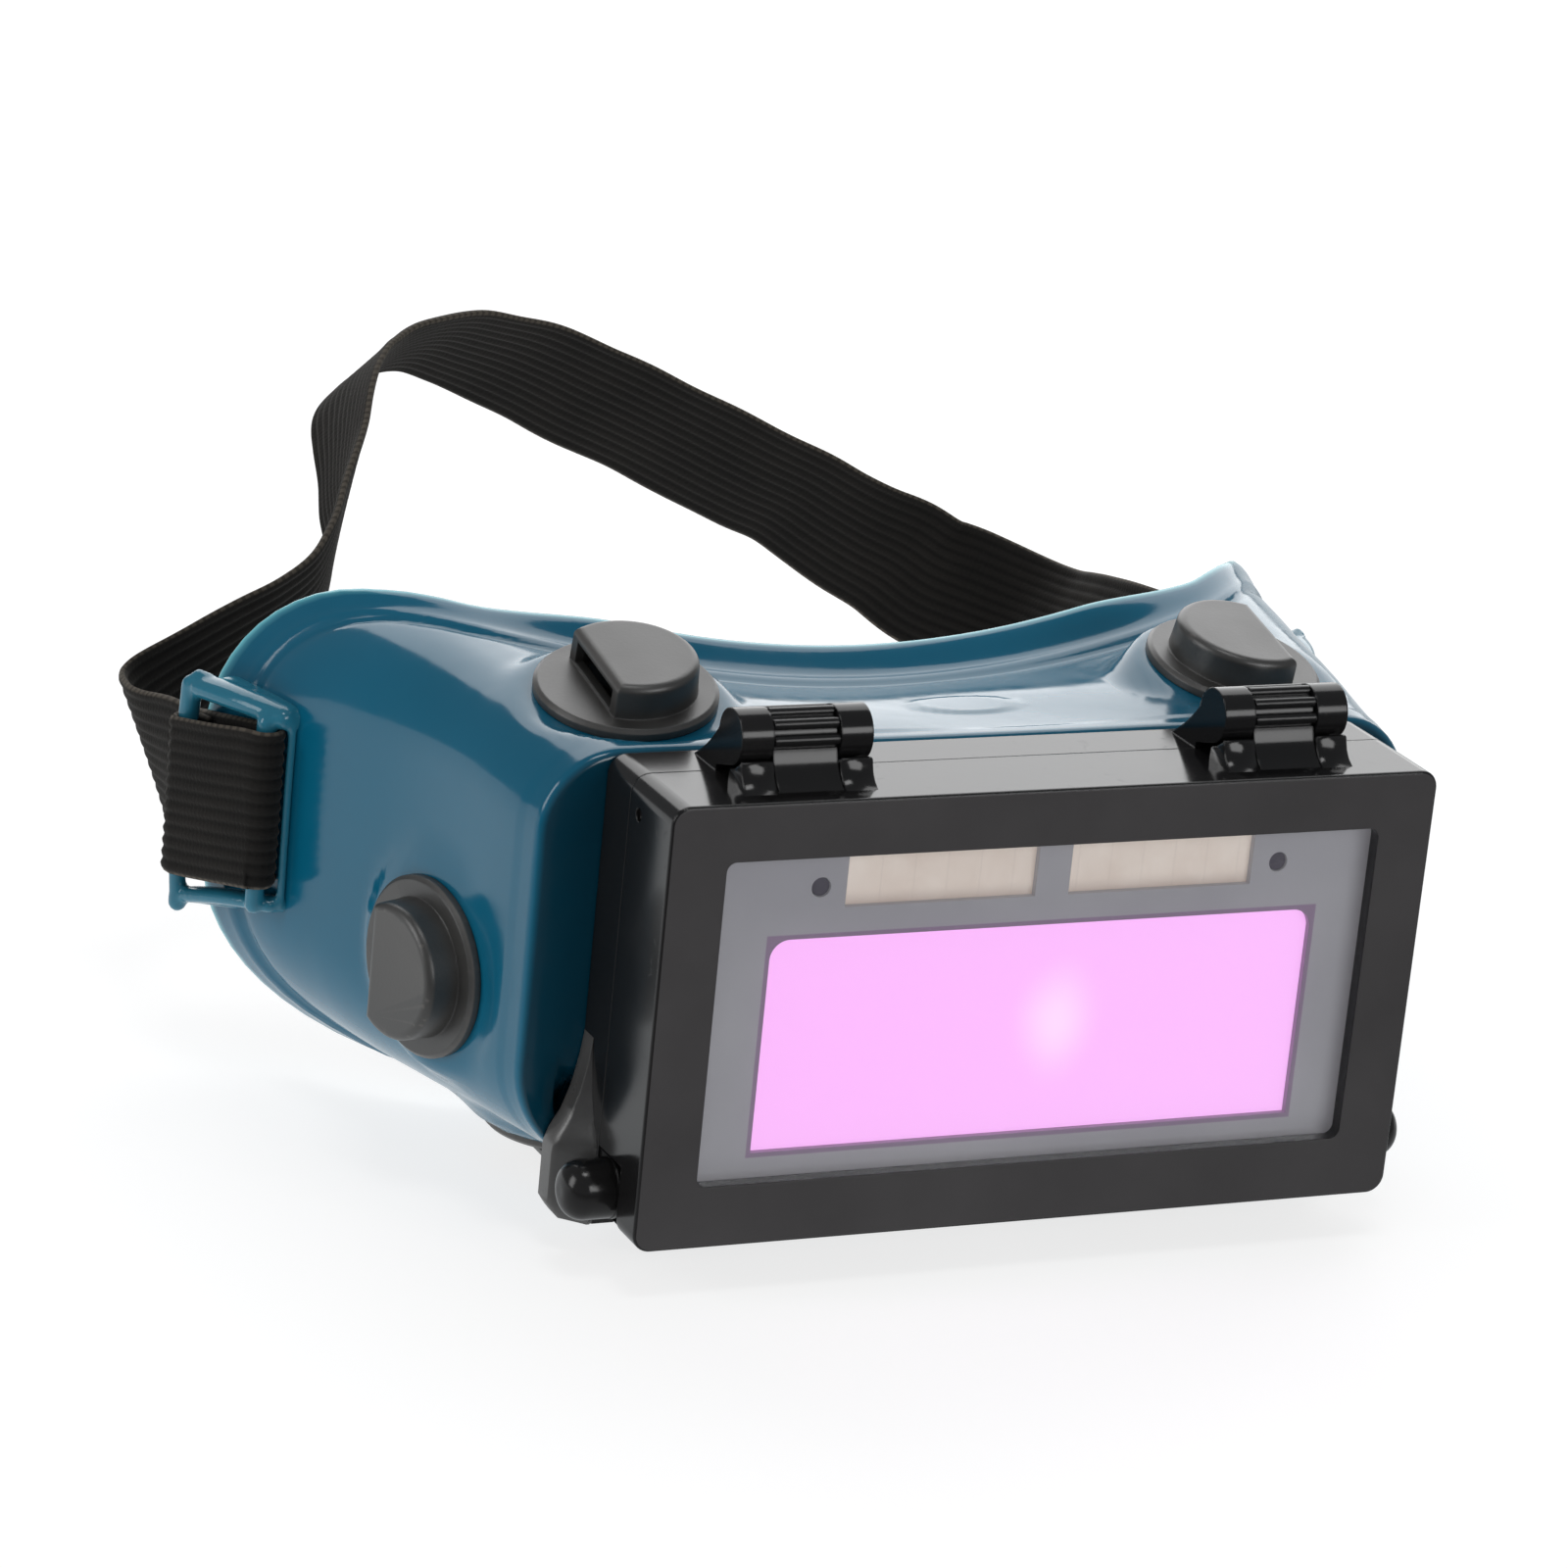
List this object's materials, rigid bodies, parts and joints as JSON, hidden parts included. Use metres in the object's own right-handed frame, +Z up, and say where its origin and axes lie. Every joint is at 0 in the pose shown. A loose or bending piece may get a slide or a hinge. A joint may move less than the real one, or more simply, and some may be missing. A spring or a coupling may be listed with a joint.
{
  "type": "welding goggles",
  "caption": "Flip-front welding goggles: auto-darkening filter in a hinged rectangular frame, clear lens behind, soft vented body and elastic head strap.",
  "frame": {"origin": "centre of the flip frame's front face, on the middle plane of the goggles", "axes": "+X towards the wearer's left, +Y back towards the wearer's face, +Z up; the front looks along -Y"},
  "size_m": [0.1987, 0.2187, 0.0946],
  "materials": {
    "black_gloss": "glossy moulded black plastic, satin front border",
    "vent_black": "satin moulded black plastic",
    "pvc_teal": "glossy flexible teal-blue PVC",
    "clear_polycarbonate": "clear polished sheet",
    "filter_case_grey": "fine matte grey",
    "filter_pink": "pink interference coated glass",
    "lcd_dark": "dark liquid crystal stack",
    "solar_beige": "thin film cell",
    "sensor_dark": "dark dome",
    "board_green": "solder mask",
    "cell_steel": "bright can",
    "spring_steel": "spring temper strip and pin",
    "gasket_rubber": "soft black rubber",
    "webbing_black": "ribbed elastic webbing",
    "slider_black": "moulded black"
  },
  "bodies": {
    "goggle": {"goggle_body": "pvc_teal", "rear_housing": "black_gloss", "lens_gasket": "gasket_rubber", "fixed_clear_lens": "clear_polycarbonate", "clear_lens_retainer": "vent_black", "hinge_pin_left": "spring_steel", "hinge_pin_right": "spring_steel", "detent_leaves": "spring_steel", "head_strap": "webbing_black"},
    "flip_front": {"flip_frame": "black_gloss", "front_cover_lens": "clear_polycarbonate", "filter_case_front": "filter_case_grey", "uv_ir_filter_glass": "filter_pink", "lcd_shutter": "lcd_dark", "solar_cells": "solar_beige", "light_sensors": "sensor_dark", "control_board": "board_green", "coin_cells": "cell_steel", "filter_case_back": "filter_case_grey", "inner_cover_lens": "clear_polycarbonate", "filter_retainer": "vent_black"},
    "slider": {"strap_slider": "slider_black"},
    "vent_top_left": {"vent_cap_top_left": "vent_black"},
    "vent_top_right": {"vent_cap_top_right": "vent_black"},
    "vent_side_left": {"vent_cap_side_left": "vent_black"},
    "vent_side_right": {"vent_cap_side_right": "vent_black"},
    "vent_bottom_left": {"vent_cap_bottom_left": "vent_black"},
    "vent_bottom_right": {"vent_cap_bottom_right": "vent_black"}
  },
  "joints": [
    {"name": "front_flip", "type": "hinge", "parent": "goggle", "child": "flip_front", "pos_m": [0, 0.011, 0.04], "axis": [-1, 0, 0], "range_deg": [0, 105]},
    {"name": "vent_top_left_turn", "type": "hinge", "parent": "goggle", "child": "vent_top_left", "pos_m": [-0.0504, 0.0452, 0.0353], "axis": [-0.0698, -0.2079, 0.9757], "continuous": true},
    {"name": "vent_top_right_turn", "type": "hinge", "parent": "goggle", "child": "vent_top_right", "pos_m": [0.0504, 0.0452, 0.0353], "axis": [0.0698, -0.2079, 0.9757], "continuous": true},
    {"name": "vent_side_left_turn", "type": "hinge", "parent": "goggle", "child": "vent_side_left", "pos_m": [-0.0762, 0.05, -0.0074], "axis": [-0.9681, -0.2504, 0], "continuous": true},
    {"name": "vent_side_right_turn", "type": "hinge", "parent": "goggle", "child": "vent_side_right", "pos_m": [0.0762, 0.05, -0.0074], "axis": [0.9681, -0.2504, 0], "continuous": true},
    {"name": "vent_bottom_left_turn", "type": "hinge", "parent": "goggle", "child": "vent_bottom_left", "pos_m": [-0.0492, 0.0537, -0.0337], "axis": [0, 0, -1], "continuous": true},
    {"name": "vent_bottom_right_turn", "type": "hinge", "parent": "goggle", "child": "vent_bottom_right", "pos_m": [0.0492, 0.0537, -0.0337], "axis": [0, 0, -1], "continuous": true},
    {"name": "strap_slider_slide", "type": "slide", "parent": "goggle", "child": "slider", "axis": [0, 1, 0], "range_m": [0, 0.012]}
  ]
}
